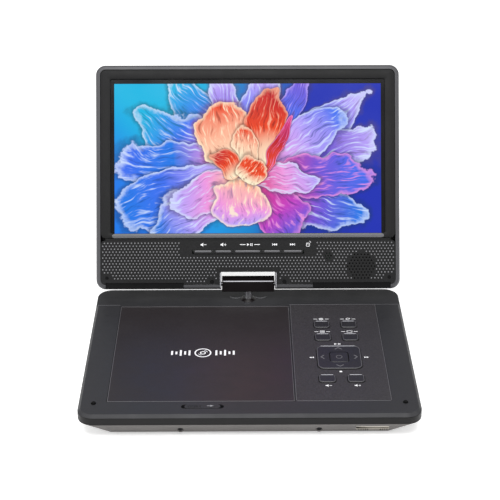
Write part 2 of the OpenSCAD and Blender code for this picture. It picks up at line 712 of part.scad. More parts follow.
// an open arrow head, half as wide as its arms are apart
module arrow_head(half, thick) {
    foot = -half / 2;
    tip = half;
    polygon([[-half, foot], [0, tip - thick], [half, foot],
             [half, foot + thick], [0, tip], [-half, foot + thick]]);
}
module dpad_rocker() color("#35363b") in_base() translate([pad_x, pad_y]) difference() {
    union() {
        key_body(pad_side, pad_side, pad_corner, key_top_z, flange_z - 0.8, 1.6);
        for (a = [0 : 90 : 270]) rotate(a) translate([pad_reach, 0]) disc(1.4, stem_z, flange_z);
    }
    plate(ok_w + 0.9, ok_d + 0.9, 2.8, 0, through);
    for (a = [0 : 90 : 270]) rotate(a) translate([pad_side / 2 - 5, 0, key_top_z - 0.3]) rotate(-90)
        linear_extrude(1) arrow_head(1.9, 0.8);
}
module dpad_pivot() color("#4a4b50") in_base() translate([pad_x, pad_y]) difference() {
    plate(21, 21, 3, stem_z + 0.1, stem_z + 1);
    plate(18.4, 18.4, 2, 0, through);
}
module key_ok() color("#2c2d31") in_base() translate([pad_x, pad_y]) {
    key_body(ok_w, ok_d, 2.4, key_top_z, stem_z + 0.1, 1.6);
    disc(2.4, stem_z, stem_z + 0.2);
}

// ---- hinge ----
module swivel_bush() color("#33322f") in_base() translate([0, axis_y]) difference() {
    union() {
        disc(shaft_r + 1.6, strip_z - strip_t - 1.6, strip_z + 0.3);
        translate([0, 0, strip_z + 0.02]) cylinder(h = 1.5, r1 = 6.6, r2 = 4.2);
    }
    disc(shaft_r + run_clear, 0, through);
}
module block_section() {
    half = block_side / 2;
    cut = 0.7;
    polygon([[-half + cut, -half], [half - cut, -half], [half, -half + cut], [half, half - cut],
             [half - cut, half], [-half + cut, half], [-half, half - cut], [-half, -half + cut]]);
}
module hinge_block() color("#1b181c") in_base() translate([0, axis_y, axis_z]) difference() {
    translate([-block_w / 2, 0, 0]) rotate([90, 0, 90]) linear_extrude(block_w) block_section();
    for (s = [-1, 1]) translate([s * block_w / 2, 0, 0]) rotate([0, 90, 0])
        cylinder(h = 2 * tilt_pin_in + 1, r = tilt_pin_r + run_clear, center = true);
    translate([0, 0, -block_side]) cylinder(h = block_side + 3, r = shaft_r + tiny);
}
module swivel_shaft() color("#d4d4d6") in_base() translate([0, axis_y]) {
    disc(shaft_r, strip_z - 8.5, axis_z + 2.9);
}
module swivel_nut() color("#9c9ea2") in_base() translate([0, axis_y]) difference() {
    union() {
        disc(6.4, strip_z - strip_t - 2.6, strip_z - strip_t - 1.8);
        translate([0, 0, strip_z - strip_t - 5.6]) cylinder(h = 3.1, r = 5.2, $fn = 6);
    }
    disc(shaft_r + tiny, 0, through);
}
// the two tilt pins with their brackets, and the four screws behind the screen's plugs
module tilt_hinges() color("#a9abb0") in_lid() {
    for (s = [-1, 1]) scale([s, 1, 1]) difference() {
        union() {
            translate([block_w / 2 - tilt_pin_in, 0, 0]) rotate([0, 90, 0]) cylinder(h = 30, r = tilt_pin_r);
            lid_box(bracket_near, bracket_far, bracket_low, 8.4, -bracket_half, bracket_half);
        }
        facing(cap_spots[1].x, cap_spots[1].y, -4) cylinder(h = 1.6, r = 0.95);
    }
    for (n = [0 : 3]) facing(cap_spots[n].x, cap_spots[n].y, bezel_back - 0.1)
        cylinder(h = screen_screws[n], r = 0.9);
}

// ---- screen casings ----
module lid_block() translate([0, 0, between(-lid_below, lid_top)]) {
    translate([0, lid_back - back_bevel, 0]) rotate([-90, 0, 0])
        bevel_slab(lid_w, lid_h, back_bevel, lid_corner, back_bevel);
    lid_plate(lid_w, -lid_h / 2, lid_h / 2, lid_corner, rim_y + rim_h, lid_back - back_bevel);
    // the rim rounds over in three steps, each flatter than the last
    for (n = [0 : 2]) {
        low = rim_steps[n];
        rise = rim_steps[n + 1] - low;
        translate([0, rim_y + rim_h - low.x, 0]) rotate([90, 0, 0])
            bevel_slab(lid_w - 2 * low.y, lid_h - 2 * low.y, rise.x, lid_corner - low.y, rise.y);
    }
}
module notch_box(grow)
    lid_box(-notch_w / 2 - grow, notch_w / 2 + grow, -lid_below - 2, notch_top + grow, -20, 20);
module buffer_pocket(shrink) for (s = [-1, 1]) scale([s, 1, 1])
    lid_box(buffer_near + shrink, buffer_far - shrink, -lid_below + 0.8 + shrink, 1 - shrink,
            face_y - 1, face_y + 2.6 - shrink);
module screen_rear_cover() color("#55565a") in_lid() difference() {
    union() {
        difference() {
            lid_block();
            lid_plate(opening_w, opening_low, opening_high, lid_corner - rim_w, -20, shell_y);
        }
        intersection() {
            lid_block();
            notch_box(1.6);
            lid_box(-30, 30, -20, 20, bezel_back + 0.1, 20);
        }
        for (n = [2, 3]) facing(cap_spots[n].x, cap_spots[n].y, bezel_back + 0.1)
            cylinder(h = shell_y - bezel_back, r = 2.4);
    }
    notch_box(0);
    buffer_pocket(0);
    for (s = [-1, 1]) scale([s, 1, 1])
        lid_box(bracket_near - 0.1, bracket_far + 0.1, bracket_low - 0.1, notch_top,
                -bracket_half - 0.1, bracket_half + 0.1);
    for (s = [-1, 1]) rotate([0, 90, 0]) translate([0, 0, s * 24])
        cylinder(h = 8, r = tilt_pin_r + 0.1, center = true);
    for (n = [2, 3]) facing(cap_spots[n].x, cap_spots[n].y, bezel_back) cylinder(h = 8, r = 1.05);
}

module screen_bezel() color("#3d3d3f") in_lid() difference() {
    high = opening_high - bezel_gap;
    width = opening_w - 2 * bezel_gap;
    edge = 0.4;
    union() {
        lid_plate(width, bezel_low, high, 4, face_y + edge, bezel_back);
        translate([0, face_y + edge + tiny, between(bezel_low, high)]) rotate([90, 0, 0])
            bevel_slab(width, high - bezel_low, edge, 4, edge);
    }
    lid_plate(window_w, window_low, window_high, 1.5, -20, 0);
}

module control_panel() color("#3d3d3f") in_lid() difference() {
    union() {
        lid_plate(opening_w - 2 * bezel_gap, opening_low + bezel_gap, panel_top, 3.2, face_y, bezel_back);
        lid_box(4 - opening_w / 2, opening_w / 2 - 4, panel_top - 1, bezel_low - 0.2, face_y + 1, bezel_back);
    }
    notch_box(bezel_gap);
    buffer_pocket(0);
    for (p = grille()) facing(speaker_x + p.x, speaker_v + p.y, -20) cylinder(h = 20, r = hole_r);
    for (p = sensor_holes) facing(sensor_u + p.x, sensor_v + p.y, -20) cylinder(h = 20, r = hole_r);
    lid_box(strip_ends[0] - 1.6, strip_ends[5] + 1.6, strip_low - 0.2, strip_high + 0.2, -20, 0);
    for (n = [0 : 3]) facing(cap_spots[n].x, cap_spots[n].y, -20) cylinder(h = 20, r = cap_radii[n] + 0.1);
}

module lcd_panel() color("#1ca7dc") in_lid()
    lid_box(-115.5, 115.5, 38.6, 172, bezel_back + 0.1, bezel_back + 1.3);
module lcd_backlight() color("#b9bbbf") in_lid() difference() {
    lid_box(-118, 118, 38.2, 173.4, bezel_back + 1.4, bezel_back + 5.2);
    for (n = [0 : 3]) lid_box(-96 + 50 * n, -54 + 50 * n, 60, 150, bezel_back + 4.6, 0);
}
module at_speaker(y) facing(speaker_x, speaker_v, y) children();
module speaker_frame() color("#7e8085") in_lid() at_speaker(bezel_back + 0.1) {
    ring(speaker_r, speaker_r - 1, 0, 3.4);
    ring(speaker_r, 7, 3.3, 4.4);
    disc(7.6, 4.3, 9);
}
module speaker_cone() color("#141416") in_lid() at_speaker(bezel_back + 0.4) difference() {
    cylinder(h = 2.6, r1 = speaker_r - 1.2, r2 = 6.6);
    translate([0, 0, -tiny]) cylinder(h = 2, r1 = speaker_r - 2, r2 = 6);
}
module screen_buffers() color("#0c0c0d") in_lid() {
    intersection() {
        buffer_pocket(0.1);
        lid_box(-150, 150, -20, 20, face_y + 0.5, 0);
    }
    for (n = [0 : 3]) facing(cap_spots[n].x, cap_spots[n].y, face_y + 0.15)
        cylinder(h = 1.5, r = cap_radii[n]);
}

// ---- screen keys ----
module screen_key(n) color("#2a2a2c") in_lid() {
    left = strip_ends[n] + 0.12;
    right = strip_ends[n + 1] - 0.12;
    left_slant = n == 0 ? strip_slant : 0;
    right_slant = n == 4 ? strip_slant : 0;
    outline = [[left - left_slant, strip_high], [left, strip_low],
               [right, strip_low], [right + right_slant, strip_high]];
    translate([0, bezel_back + 0.5, 0]) rotate([90, 0, 0]) linear_extrude(bezel_t + 0.5 + strip_rise)
        polygon(outline);
    lid_box(left + 0.6, right - 0.6, strip_low - 0.8, strip_high + 0.8, bezel_back + 0.1, bezel_back + 0.9);
}
module screen_key_1() screen_key(0);
module screen_key_2() screen_key(1);
module screen_key_3() screen_key(2);
module screen_key_4() screen_key(3);
module screen_key_5() screen_key(4);

base_bottom_cover();
base_side_frame();
base_top_cover();
keypad_panel();
disc_well();
mech_chassis();
chassis_dampers();
spindle_motor();
guide_rods();
sled_motor();
main_board();
keypad_board();
key_mat();
battery_pack();
io_board();
audio_jacks();
dc_jack();
usb_port();
card_reader();
switch_housing();
rubber_feet();
base_screws();
deck_bumpers();
swivel_bush();
door_hinge_pins();
latch_spring();
disc_door();
latch_slider();
turntable();
laser_sled();
laser_lens();
lead_screw();
switch_knob();
key_setup();
key_mode();
key_menu();
key_display();
key_volume_down();
key_volume_up();
dpad_pivot();
dpad_rocker();
key_ok();
hinge_block();
swivel_shaft();
swivel_nut();
screen_rear_cover();
screen_bezel();
control_panel();
lcd_panel();
lcd_backlight();
screen_board();
speaker_frame();
speaker_cone();
tilt_hinges();
screen_buffers();
screen_key_1();
screen_key_2();
screen_key_3();
screen_key_4();
screen_key_5();
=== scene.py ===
"""Looks of the portable disc player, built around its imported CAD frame. Lengths are in metres."""
import json
import math

import bmesh
import bpy
from mathutils import Matrix, Vector

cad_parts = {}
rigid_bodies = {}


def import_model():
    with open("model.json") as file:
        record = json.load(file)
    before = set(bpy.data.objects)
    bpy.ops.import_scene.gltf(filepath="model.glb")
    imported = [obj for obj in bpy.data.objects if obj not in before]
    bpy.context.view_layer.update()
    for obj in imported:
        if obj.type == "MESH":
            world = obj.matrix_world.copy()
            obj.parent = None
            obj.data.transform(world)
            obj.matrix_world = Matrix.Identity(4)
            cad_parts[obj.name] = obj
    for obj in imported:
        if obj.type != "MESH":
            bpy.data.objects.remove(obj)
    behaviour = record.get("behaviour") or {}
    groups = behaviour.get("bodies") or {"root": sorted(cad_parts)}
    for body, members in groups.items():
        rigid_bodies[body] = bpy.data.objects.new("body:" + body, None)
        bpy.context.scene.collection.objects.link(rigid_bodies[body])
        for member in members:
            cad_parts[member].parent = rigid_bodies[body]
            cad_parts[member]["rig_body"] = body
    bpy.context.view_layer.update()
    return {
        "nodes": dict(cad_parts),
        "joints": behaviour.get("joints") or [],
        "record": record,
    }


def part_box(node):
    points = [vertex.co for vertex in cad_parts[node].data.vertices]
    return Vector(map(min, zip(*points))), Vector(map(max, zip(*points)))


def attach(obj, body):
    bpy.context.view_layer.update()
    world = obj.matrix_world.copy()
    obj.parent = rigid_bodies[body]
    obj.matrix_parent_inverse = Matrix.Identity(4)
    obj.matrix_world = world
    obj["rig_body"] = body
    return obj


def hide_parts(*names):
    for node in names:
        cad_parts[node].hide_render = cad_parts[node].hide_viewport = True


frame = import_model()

MM = 0.001
TAU = math.tau
record = frame["record"]
joints = {j["name"]: j for j in frame["joints"]}
slot_of = {s["node"]: s["material_slot"] for s in record["subparts"]}

# ---- places, all from the frame ----
deck_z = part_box("base_top_cover")[1].z
tilt_axis = Vector(joints["screen_tilt"]["pos_m"])
across = Vector((1, 0, 0))
inward = Vector(joints["screen_button_1_press"]["axis"])
toward = -inward
RIGHT, BACKWARD, UP = Vector((1, 0, 0)), Vector((0, 1, 0)), Vector((0, 0, 1))
# the screen's own axes: x across, y into the screen, z up its face, from the tilt axis
LID = Matrix.Translation(tilt_axis) @ Matrix((across, inward, across.cross(inward))).transposed().to_4x4()


def lid_box(node):
    """A CAD node's lowest and highest corners in the screen's own axes."""
    turn = LID.inverted()
    points = [turn @ v.co for v in frame["nodes"][node].data.vertices]
    return (Vector([min(p[i] for p in points) for i in range(3)]),
            Vector([max(p[i] for p in points) for i in range(3)]))


def centre(node):
    low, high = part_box(node)
    return (low + high) / 2


def linear(*rgb):
    """The linear colour of 0 to 255 sRGB values."""
    return [((c / 255 + 0.055) / 1.055) ** 2.4 if c > 10 else c / 255 / 12.92 for c in rgb] + [1.0]


# ---- shader graphs ----
class Graph:
    """A material whose nodes are added and linked by name."""

    def __init__(self, name):
        self.material = bpy.data.materials.new(name)
        self.material.use_nodes = True
        self.tree = self.material.node_tree
        self.tree.nodes.clear()

    def put(self, kind, settings=None, **inputs):
        made = self.tree.nodes.new("ShaderNode" + kind)
        for key, value in (settings or {}).items():
            setattr(made, key, value)
        for key, value in inputs.items():
            self.set(made, key.replace("_", " "), value)
        return made

    def set(self, made, socket, value):
        if isinstance(value, bpy.types.NodeSocket):
            self.tree.links.new(value, made.inputs[socket])
        else:
            made.inputs[socket].default_value = value

    def math(self, operation, *values):
        made = self.tree.nodes.new("ShaderNodeMath")
        made.operation = operation
        for i, value in enumerate(values):
            self.set(made, i, value)
        return made.outputs[0]

    def clamped(self, value, low, high, to_low=0.0, to_high=1.0, smooth=False):
        made = self.put("MapRange", {"interpolation_type": "SMOOTHSTEP" if smooth else "LINEAR"})
        for i, number in enumerate((value, low, high, to_low, to_high)):
            self.set(made, i, number)
        return made.outputs[0]

    def mix(self, share, a, b, blend="MIX"):
        made = self.tree.nodes.new("ShaderNodeMix")
        made.data_type = "RGBA"
        made.blend_type = blend
        for i, value in ((0, share), (6, a), (7, b)):
            self.set(made, i, value)
        return made.outputs[2]

    def noise(self, where, scale, detail=2.0, rough=0.5):
        made = self.put("TexNoise", Vector=where, Scale=scale, Detail=detail, Roughness=rough)
        return made.outputs["Fac"]

    def place(self):
        return self.put("TexCoord").outputs["Object"]

    def shade(self, **inputs):
        """Ends the graph in one Principled shader with these inputs."""
        shader = self.put("BsdfPrincipled")
        for key, value in inputs.items():
            self.set(shader, key.replace("_", " "), value)
        out = self.put("OutputMaterial")
        self.tree.links.new(shader.outputs[0], out.inputs["Surface"])
        return self.material


def moulded(name, colour, rough, grain=0.35 * MM, depth=0.02 * MM, fleck=0.12, specular=0.4, coat=0.0):
    """Moulded plastic: a fine spark-eroded grain, faint cloudiness and uneven gloss."""
    g = Graph(name)
    where = g.place()
    cloud = g.noise(where, 14, 3)
    fine = g.noise(where, 1 / grain, 3, 0.65)
    fleck_share = g.clamped(fine, 0.3, 0.7)
    dark = [c * (1 - fleck) for c in colour[:3]] + [1]
    light = [c * (1 + fleck) for c in colour[:3]] + [1]
    base = g.mix(fleck_share, dark, light)
    shadow = [c * 0.86 for c in colour[:3]] + [1]
    base = g.mix(g.clamped(cloud, 0.35, 0.7, 0.0, 0.45), base, shadow)
    uneven = g.clamped(g.noise(where, 55, 4, 0.6), 0.3, 0.7, rough - 0.05, rough + 0.06)
    bump = g.put("Bump", Height=fine, Distance=depth, Strength=0.7)
    return g.shade(Base_Color=base, Roughness=uneven, Normal=bump.outputs[0],
                   Specular_IOR_Level=specular, Coat_Weight=coat, Coat_Roughness=0.12)


def metal(name, colour, rough, stretch=(1, 1, 1), marks=0.25):
    """Bare metal with fine tool marks, drawn out along one axis by stretch."""
    g = Graph(name)
    lined = g.put("Mapping", Vector=g.place(), Scale=stretch).outputs[0]
    lines = g.noise(lined, 900, 4, 0.6)
    stain = g.noise(g.place(), 60, 3)
    dark = [c * (1 - marks) for c in colour[:3]] + [1]
    base = g.mix(g.clamped(lines, 0.3, 0.7), colour, dark)
    base = g.mix(g.clamped(stain, 0.5, 0.8, 0.0, 0.25), base, [c * 0.7 for c in colour[:3]] + [1])
    bump = g.put("Bump", Height=lines, Distance=0.01 * MM, Strength=0.5)
    return g.shade(Base_Color=base, Metallic=1.0, Normal=bump.outputs[0],
                   Roughness=g.clamped(lines, 0.2, 0.8, rough - 0.06, rough + 0.1))


def circuit(name):
    """Solder mask with copper tracks under it and pads where the tracks cross."""
    g = Graph(name)
    where = g.place()
    cells = g.put("TexBrick", Vector=where, Scale=160.0, Mortar_Size=0.06,
                  Color1=linear(20, 84, 48), Color2=linear(16, 70, 42), Mortar=linear(34, 122, 70))
    fine = g.noise(where, 700, 3)
    base = g.mix(g.clamped(fine, 0.4, 0.75, 0.0, 0.3), cells.outputs["Color"], linear(11, 46, 30))
    bump = g.put("Bump", Height=cells.outputs["Fac"], Distance=0.03 * MM, Strength=0.4)
    return g.shade(Base_Color=base, Normal=bump.outputs[0], Specular_IOR_Level=0.5,
                   Roughness=g.clamped(fine, 0.3, 0.7, 0.3, 0.42))


def printed(name, colour):
    """Pad-printed ink: a thin, slightly uneven film."""
    g = Graph(name)
    where = g.place()
    film = g.noise(where, 2600, 3, 0.7)
    base = g.mix(g.clamped(film, 0.45, 0.85, 0.0, 0.35), colour, [c * 0.72 for c in colour[:3]] + [1])
    bump = g.put("Bump", Height=film, Distance=0.006 * MM, Strength=0.5)
    return g.shade(Base_Color=base, Roughness=g.clamped(film, 0.3, 0.7, 0.5, 0.62), Normal=bump.outputs[0],
                   Specular_IOR_Level=0.3)


# ---- the lit picture: places and sizes in millimetres on the screen's own axes ----
picture_half = 110.7
picture_low = 42.1
picture_high = 166.4

CYAN = linear(0, 182, 226)
SKY = linear(20, 120, 232)
DEEP_BLUE = linear(22, 44, 178)
BLUE = linear(58, 110, 240)
VIOLET = linear(112, 84, 216)
LILAC = linear(186, 162, 250)
PINK = linear(240, 150, 222)
ROSE = linear(214, 52, 130)
MAGENTA = linear(196, 60, 190)
PEACH = linear(255, 190, 158)
ORANGE = linear(238, 70, 24)
RED = linear(196, 22, 30)
PALE = linear(255, 242, 208)
ICE = linear(214, 230, 255)

# each petal: root, tip, half its width, colours at root, middle and tip, and at its rim
PETALS = [
    ((-5, 95), (-60, 170), 17, VIOLET, BLUE, CYAN, ICE),
    ((-5, 95), (-25, 174), 15, MAGENTA, VIOLET, LILAC, ICE),
    ((8, 95), (48, 174), 14, MAGENTA, BLUE, VIOLET, LILAC),
    ((5, 95), (12, 174), 15, VIOLET, BLUE, LILAC, ICE),
    ((12, 92), (98, 158), 15, PINK, BLUE, LILAC, ICE),
    ((-10, 92), (-94, 144), 21, PINK, BLUE, CYAN, ICE),
    ((-10, 90), (-108, 104), 22, PINK, SKY, BLUE, ICE),
    ((-15, 85), (-110, 60), 24, LILAC, BLUE, SKY, ICE),
    ((15, 88), (112, 120), 20, PINK, VIOLET, LILAC, ICE),
    ((10, 95), (80, 142), 16, PINK, LILAC, BLUE, ICE),
    ((20, 75), (94, 54), 22, MAGENTA, VIOLET, SKY, ICE),
    ((15, 86), (106, 92), 18, ROSE, VIOLET, BLUE, PINK),
    ((-15, 80), (-76, 43), 20, PINK, LILAC, SKY, ICE),
    ((5, 80), (40, 42), 22, ROSE, MAGENTA, VIOLET, PINK),
    ((0, 84), (-62, 66), 15, PEACH, PINK, LILAC, ICE),
    ((5, 86), (58, 88), 13, ROSE, PINK, LILAC, ICE),
    ((0, 84), (-8, 48), 22, PEACH, PINK, LILAC, PALE),
    ((-6, 90), (-24, 152), 24, PALE, PEACH, ORANGE, PALE),
    ((16, 96), (17, 160), 15, PALE, ORANGE, RED, PEACH),
    ((18, 92), (36, 139), 5, ORANGE, RED, ROSE, PINK),
    ((-3, 100), (0, 130), 11, PALE, PEACH, ORANGE, PALE),
    ((-4, 84), (-28, 110), 10, PALE, ORANGE, RED, PEACH),
    ((0, 82), (9, 108), 14, PALE, ORANGE, ORANGE, PALE),
]


def petal(g, below, flat, ripple, shape, seed):
    """One petal painted over the colours below, with a ruffled edge, folds and a soft shadow."""
    root, tip, half, inner, middle, outer, rim = shape
    root, tip = Vector(root) * MM, Vector(tip) * MM
    along = tip - root
    own = g.put("Mapping", {"vector_type": "TEXTURE"}, Vector=flat,
                Location=(*(root + tip) / 2, 0), Rotation=(0, 0, math.atan2(along.y, along.x)),
                Scale=(along.length / 2, half * MM, 1)).outputs[0]
    distance = g.put("VectorMath", {"operation": "LENGTH"}, Vector=own).outputs["Value"]
    distance = g.math("MULTIPLY_ADD", ripple, 0.5, distance)
    drawn = g.put("Mapping", Vector=own, Location=(seed, seed, 0), Scale=(0.9, 3.4, 1)).outputs[0]
    streak = g.noise(drawn, 2.1, 3, 0.62)
    share = g.clamped(g.put("SeparateXYZ", Vector=own).outputs[0], -0.75, 0.85)
    ramp = g.put("ValToRGB", Fac=share)
    stops = ramp.color_ramp.elements
    stops[0].color = inner
    stops[1].color = outer
    stops.new(0.5).color = middle
    colour = g.mix(g.clamped(streak, 0.52, 0.68, 0.0, 0.8, True), ramp.outputs[0], rim)
    colour = g.mix(g.clamped(streak, 0.47, 0.33, 0.0, 0.6, True), colour, [c * 0.3 for c in outer[:3]] + [1])
    colour = g.mix(g.clamped(distance, 0.84, 1.0, 0.0, 0.65, True), colour, rim)
    shade = g.clamped(distance, 1.2, 0.98, 0.0, 0.6, True)
    below = g.mix(shade, below, [c * 0.16 for c in outer[:3]] + [1])
    return g.mix(g.clamped(distance, 1.02, 0.98, smooth=True), below, colour)


def lit_picture():
    """The display: an abstract bloom of translucent petals, glowing inside a black border."""
    g = Graph("lit_picture")
    where = g.place()
    plain = g.put("SeparateXYZ", Vector=where)
    warp = g.put("TexNoise", Vector=where, Scale=26.0, Detail=2.0).outputs["Color"]
    pushed = g.put("VectorMath", {"operation": "MULTIPLY_ADD"})
    for i, value in enumerate((warp, (0.03,) * 3, where)):
        g.set(pushed, i, value)
    parts = g.put("SeparateXYZ", Vector=pushed.outputs[0])
    u = g.math("SUBTRACT", parts.outputs[0], 0.015)
    v = g.math("SUBTRACT", parts.outputs[2], 0.015)
    flat = g.put("CombineXYZ", X=u, Y=v).outputs[0]
    ripple = g.math("SUBTRACT", g.noise(where, 75, 3, 0.6), 0.5)
    drift = g.math("MULTIPLY_ADD", g.noise(where, 22, 3), 0.08, plain.outputs[0])
    colour = g.mix(g.clamped(drift, -0.02, 0.09, smooth=True), CYAN, DEEP_BLUE)
    low_left = g.clamped(g.math("ADD", plain.outputs[0], plain.outputs[2]), 0.06, -0.03, smooth=True)
    colour = g.mix(low_left, colour, SKY)
    for n, shape in enumerate(PETALS):
        colour = petal(g, colour, flat, ripple, shape, 3.7 * n)
    # black outside the lit area
    edge_u = g.math("LESS_THAN", g.math("ABSOLUTE", plain.outputs[0]), picture_half * MM)
    edge_v = g.math("MULTIPLY", g.math("GREATER_THAN", plain.outputs[2], picture_low * MM),
                    g.math("LESS_THAN", plain.outputs[2], picture_high * MM))
    lit = g.math("MULTIPLY", edge_u, edge_v)
    colour = g.mix(lit, (0.0, 0.0, 0.0, 1.0), colour)
    smear = g.noise(where, 30, 3)
    return g.shade(Base_Color=(0.002, 0.002, 0.003, 1), Emission_Color=colour, Emission_Strength=1.0,
                   Specular_IOR_Level=0.25, Roughness=g.clamped(smear, 0.3, 0.7, 0.16, 0.24))


LOOKS = {
    "tray_plastic": moulded("tray_plastic", linear(80, 77, 75), 0.62, 0.5 * MM, 0.03 * MM),
    "frame_plastic": moulded("frame_plastic", linear(14, 13, 14), 0.42, 0.3 * MM, 0.006 * MM, 0.06, 0.2),
    "deck_plastic": moulded("deck_plastic", linear(35, 35, 38), 0.5, 0.5 * MM, 0.03 * MM, 0.2, 0.35),
    "panel_plastic": moulded("panel_plastic", linear(43, 41, 44), 0.55, 1.0 * MM, 0.14 * MM, 0.6, 0.35),
    "door_plastic": moulded("door_plastic", linear(36, 32, 34), 0.4, 0.4 * MM, 0.012 * MM, 0.08, 0.3),
    "well_plastic": moulded("well_plastic", linear(34, 35, 38), 0.45, 0.3 * MM, 0.01 * MM),
    "key_plastic": moulded("key_plastic", linear(29, 28, 31), 0.45, 0.3 * MM, 0.01 * MM, 0.08),
    "block_plastic": moulded("block_plastic", linear(22, 18, 19), 0.3, 0.3 * MM, 0.006 * MM, 0.06),
    "bezel_plastic": moulded("bezel_plastic", linear(14, 14, 15), 0.55, 1.0 * MM, 0.12 * MM, 0.7, 0.22),
    "rim_plastic": moulded("rim_plastic", linear(64, 64, 67), 0.42, 0.4 * MM, 0.012 * MM, 0.08, 0.4),
    "rubber": moulded("rubber", linear(8, 8, 9), 0.8, 0.25 * MM, 0.03 * MM, 0.15, 0.15),
    "black_steel": metal("black_steel", linear(44, 44, 46), 0.4, (1, 1, 1)),
    "reader_plastic": moulded("reader_plastic", linear(165, 160, 150), 0.5, 0.4 * MM, 0.01 * MM, 0.08),
    "steel": metal("steel", linear(180, 181, 186), 0.3, (1, 0.1, 1)),
    "shaft_chrome": metal("shaft_chrome", linear(240, 240, 244), 0.26, (1, 1, 0.05), 0.06),
    "plated": metal("plated", linear(150, 152, 158), 0.42, (0.2, 1, 1)),
    "circuit_board": circuit("circuit_board"),
    "silicone": moulded("silicone", linear(150, 150, 154), 0.6, 0.6 * MM, 0.02 * MM, 0.06),
    "battery_foil": metal("battery_foil", linear(160, 164, 172), 0.5, (1, 1, 1), 0.35),
    "connector_plastic": moulded("connector_plastic", linear(20, 20, 22), 0.5, 0.3 * MM, 0.01 * MM),
    "shell_metal": metal("shell_metal", linear(176, 178, 182), 0.28, (1, 0.2, 1)),
    "lens_glass": moulded("lens_glass", linear(70, 96, 150), 0.08, 1.5 * MM, 0.002 * MM, 0.3, 0.8, 1.0),
    "screw_brass": metal("screw_brass", linear(196, 172, 104), 0.3, (1, 1, 1)),
    "picture_glass": lit_picture(),
    "backlight_frame": moulded("backlight_frame", linear(190, 190, 192), 0.6, 0.5 * MM, 0.02 * MM, 0.05),
    "cone_paper": moulded("cone_paper", linear(20, 20, 22), 0.85, 0.5 * MM, 0.06 * MM, 0.3, 0.2),
}
INK = printed("white_ink", linear(226, 226, 228))
GREY_INK = printed("grey_ink", linear(132, 132, 136))
DIM_INK = printed("dim_ink", linear(90, 89, 93))
# painted highlight: a light plastic for thin lines that stand in for the shine along lit edges
EDGE_HIGHLIGHT = moulded("painted_edge_highlight", linear(176, 176, 182), 0.34, 0.3 * MM, 0.006 * MM, 0.06, 0.5)
# painted highlight: a paler grey for faint lines and beads that stand in for the shine along edges
FAINT_EDGE_HIGHLIGHT = moulded("faint_painted_highlight", linear(84, 83, 87), 0.34, 0.3 * MM, 0.006 * MM, 0.06, 0.5)
# painted highlight: the panel's dots are made far lighter than the panel, standing in for the light caught on
# their domes
DOT_HIGHLIGHT = moulded("dot_painted_highlight", linear(112, 112, 115), 0.45, 0.3 * MM, 0.006 * MM, 0.06, 0.4)
# painted highlight: a lighter grey for the screen keys' ridges and the bezel's lip, standing in for the light
# on their rounded tops
HIGHLIGHT_LIP = moulded("lip_painted_highlight", linear(88, 88, 91), 0.4, 0.4 * MM, 0.012 * MM, 0.1, 0.4)
GLOSS = moulded("glossy_black", linear(14, 14, 15), 0.2, 0.4 * MM, 0.004 * MM, 0.06, 0.5)
# painted shade: a near-black for flat marks that stand in for the shade in the card slot's openings
SLOT_SHADE = moulded("painted_recess_shade", linear(12, 12, 13), 0.6, 0.3 * MM, 0.01 * MM, 0.1, 0.2)


# ---- making pieces ----
def finish_piece(name, mesh, body, materials, place=None, smooth=40):
    """Links a mesh as a piece that rides on a body, with smooth faces and sharp corners."""
    for material in materials:
        mesh.materials.append(material)
    mesh.polygons.foreach_set("use_smooth", [True] * len(mesh.polygons))
    mesh.set_sharp_from_angle(angle=math.radians(smooth))
    piece = bpy.data.objects.new(name, mesh)
    bpy.context.scene.collection.objects.link(piece)
    if place is not None:
        piece.matrix_world = place
    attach(piece, body)
    return piece


def round_edges(piece, width, segments=2):
    bevel = piece.modifiers.new("edges", "BEVEL")
    bevel.width = width
    bevel.segments = segments
    bevel.limit_method = "ANGLE"
    bevel.angle_limit = math.radians(28)
    bevel.harden_normals = True
    bevel.miter_outer = "MITER_ARC"
    return piece


def drawn_area(mesh):
    """The area of a mesh as the renderer triangulates it."""
    mesh.calc_loop_triangles()
    return sum(triangle.area for triangle in mesh.loop_triangles)


def rounded_area(mesh, edge):
    """The drawn area of a mesh once its edges are rounded, which grows if a notch or hole closes over."""
    trial = bpy.data.objects.new("trial", mesh)
    bpy.context.scene.collection.objects.link(trial)
    round_edges(trial, edge)
    area = drawn_area(trial.evaluated_get(bpy.context.evaluated_depsgraph_get()).to_mesh())
    bpy.data.objects.remove(trial)
    return area


def clean_copy(node, join):
    """A copy of a CAD node's mesh, with its flat faces joined up where join is true."""
    shape = bmesh.new()
    shape.from_mesh(frame["nodes"][node].data)
    bmesh.ops.remove_doubles(shape, verts=shape.verts, dist=0.001 * MM)
    if join:
        bmesh.ops.dissolve_limit(shape, verts=shape.verts, edges=shape.edges, angle_limit=math.radians(0.6))
    mesh = bpy.data.meshes.new(node + "_finished")
    shape.to_mesh(mesh)
    shape.free()
    if "custom_normal" in mesh.attributes:
        mesh.attributes.remove(mesh.attributes["custom_normal"])
    mesh.materials.clear()
    return mesh


def finished(node, edge, materials=None):
    """A CAD node's own shape with its edges rounded, wherever they can be without closing a hole."""
    most = 1.002 * drawn_area(frame["nodes"][node].data)
    for join in (True, False):
        mesh = clean_copy(node, join)
        rounds = rounded_area(mesh, edge) < most
        if rounds:
            break
    piece = finish_piece(node + "_finished", mesh, frame["nodes"][node]["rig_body"],
                         materials or [LOOKS[slot_of[node]]], smooth=30)
    if rounds:
        round_edges(piece, edge)
    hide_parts(node)
    return piece


def outline(width, depth, radius, steps=7):
    """The points of a rounded rectangle, anticlockwise."""
    points = []
    for turn, (sx, sy) in enumerate(((1, 1), (-1, 1), (-1, -1), (1, -1))):
        corner = Vector((sx * (width / 2 - radius), sy * (depth / 2 - radius)))
        for i in range(steps + 1):
            a = TAU / 4 * (turn + i / steps)
            points.append(corner + radius * Vector((math.cos(a), math.sin(a))))
    return points


